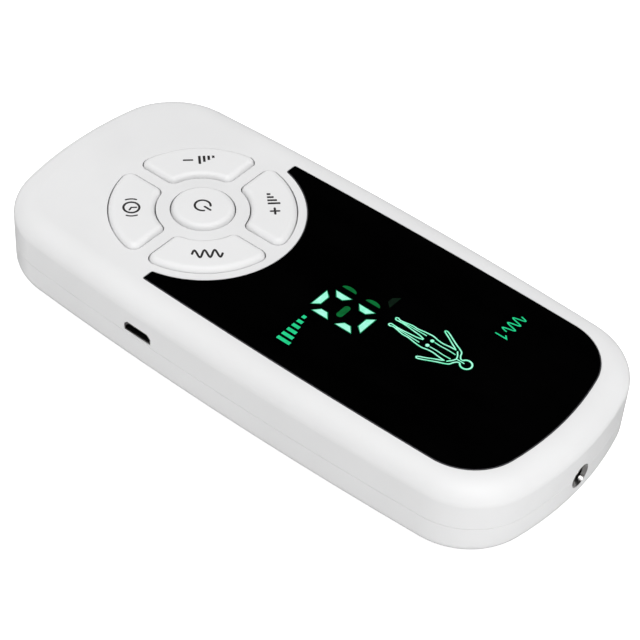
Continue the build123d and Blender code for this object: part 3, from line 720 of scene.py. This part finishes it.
# ================================================================ floor, light and camera
def new_floor(half_side_m):
    """A pale table that glows for the camera alone, so that it shows white and throws no extra light."""
    corners = [(half_side_m * x, half_side_m * y, 0) for x, y in ((-1, -1), (1, -1), (1, 1), (-1, 1))]
    mesh = bpy.data.meshes.new("floor")
    mesh.from_pydata(corners, [], [(0, 1, 2, 3)])
    look = Look("lit_table", roughness=0.85)
    look.set("Base Color", look.between(look.noise(60.0), (0.66, 0.66, 0.66), (0.68, 0.68, 0.68)))
    look.set("Specular IOR Level", 0.0)
    look.set("Emission Color", (1.0, 1.0, 1.0))
    seen_by_camera = look.node("ShaderNodeLightPath").outputs["Is Camera Ray"]
    look.set("Emission Strength", look.between(seen_by_camera, 0.0, 0.75, start=0.0, end=1.0))
    mesh.materials.append(look.material)
    floor = bpy.data.objects.new("floor", mesh)
    bpy.context.scene.collection.objects.link(floor)


def area_light(name, azimuth, elevation, distance_m, size_m, watts):
    """A round soft box that faces the object. It lights surfaces evenly, but shiny ones don't mirror it."""
    light = bpy.data.lights.new(name, "AREA")
    light.shape = "DISK"
    light.size = size_m
    light.energy = watts
    lamp = bpy.data.objects.new(name, light)
    bpy.context.scene.collection.objects.link(lamp)
    toward = direction(azimuth, elevation)
    lamp.location = toward * distance_m
    lamp.rotation_euler = toward.to_track_quat("Z", "Y").to_euler()
    lamp.visible_glossy = False
    return lamp


def only_a_glint(lamp, node_names):
    """Makes a lamp show only as its mirror image in these CAD nodes."""
    receivers = bpy.data.collections.new(f"{lamp.name}_receivers")
    for node_name in node_names:
        receivers.objects.link(nodes[node_name])
    lamp.light_linking.receiver_collection = receivers
    lamp.visible_diffuse = False
    lamp.visible_glossy = True


def direction(azimuth, elevation):
    """From the object outwards. Angles are in degrees, the azimuth from +X towards +Y."""
    turn = math.radians(azimuth)
    rise = math.radians(elevation)
    return Vector((math.cos(rise) * math.cos(turn), math.cos(rise) * math.sin(turn), math.sin(rise)))


def studio_world():
    """A surrounding that is white to the camera and mostly dark to shiny surfaces, as between black flags.

    It lights matt surfaces softly, and more from above. Each ramp gives a grey by the height of the
    direction: 0 is level or below, and 1 is straight up.
    """
    world = bpy.data.worlds.new("studio")
    bpy.context.scene.world = world
    world.use_nodes = True
    tree = world.node_tree
    background = tree.nodes["Background"]
    path = tree.nodes.new("ShaderNodeLightPath")
    where = tree.nodes.new("ShaderNodeTexCoord")
    split = tree.nodes.new("ShaderNodeSeparateXYZ")
    tree.links.new(where.outputs["Generated"], split.inputs["Vector"])

    def ramp(stops):
        made = tree.nodes.new("ShaderNodeValToRGB")
        tree.links.new(split.outputs["Z"], made.inputs["Fac"])
        elements = made.color_ramp.elements
        while len(elements) < len(stops):
            elements.new(0.5)
        for element, (position, grey) in zip(elements, stops):
            element.position = position
            element.color = (grey, grey, grey, 1)
        return made.outputs["Color"]

    lighting = ramp([(0.0, 0.33), (0.45, 0.63), (0.9, 1.17)])
    mirrored_grey = ramp([(0.0, 0.35), (0.25, 0.05), (0.45, 0.0), (0.82, 0.0), (0.93, 0.9)])
    backdrop = ramp([(0.0, 1.3), (1.0, 1.3)])
    colour = lighting
    for ray, its_colour in (("Is Glossy Ray", mirrored_grey), ("Is Camera Ray", backdrop)):
        mix = tree.nodes.new("ShaderNodeMix")
        mix.data_type = "RGBA"
        tree.links.new(path.outputs[ray], mix.inputs[0])
        tree.links.new(colour, mix.inputs[6])
        tree.links.new(its_colour, mix.inputs[7])
        colour = mix.outputs[2]
    tree.links.new(colour, background.inputs["Color"])
    background.inputs["Strength"].default_value = 0.88


def new_camera():
    """The photo's view: from above the USB side and the jack end, slightly tilted."""
    roll = math.radians(4.29)
    distance_m = 0.42267
    toward = direction(azimuth=36.23, elevation=44.02)
    target = Vector((9.82 * MM, 9.94 * MM, top_of("upper_shell") * MM))  # in the middle of the picture
    right = (-toward).cross(Vector((0, 0, 1))).normalized()
    up = right.cross(-toward)
    tilted_right = right * math.cos(roll) + up * math.sin(roll)
    tilted_up = up * math.cos(roll) - right * math.sin(roll)
    data = bpy.data.cameras.new("camera")
    data.lens = 113.53
    data.sensor_width = 36.0
    data.clip_start = 0.01
    camera = bpy.data.objects.new("camera", data)
    bpy.context.scene.collection.objects.link(camera)
    stance = Matrix((tilted_right, tilted_up, toward)).transposed().to_4x4()
    stance.translation = target + toward * distance_m
    camera.matrix_world = stance
    bpy.context.scene.camera = camera


new_floor(half_side_m=3.0)
area_light("overhead", azimuth=60, elevation=66, distance_m=1.6, size_m=1.4, watts=11)
# Small low lamps bring the upright walls near the white of the top.
for name, azimuth, watts in (("jack_end", 52, 4.8), ("key_end", -90, 6.0), ("far_side", 170, 1.4)):
    area_light(name, azimuth, elevation=3.5, distance_m=1.4, size_m=0.15, watts=watts)
glint = area_light("glint", azimuth=84, elevation=24, distance_m=1.4, size_m=0.55, watts=9.0)
only_a_glint(glint, ("jack_bushing", "jack_springs"))
studio_world()
new_camera()
bpy.context.scene.view_settings.view_transform = "Standard"
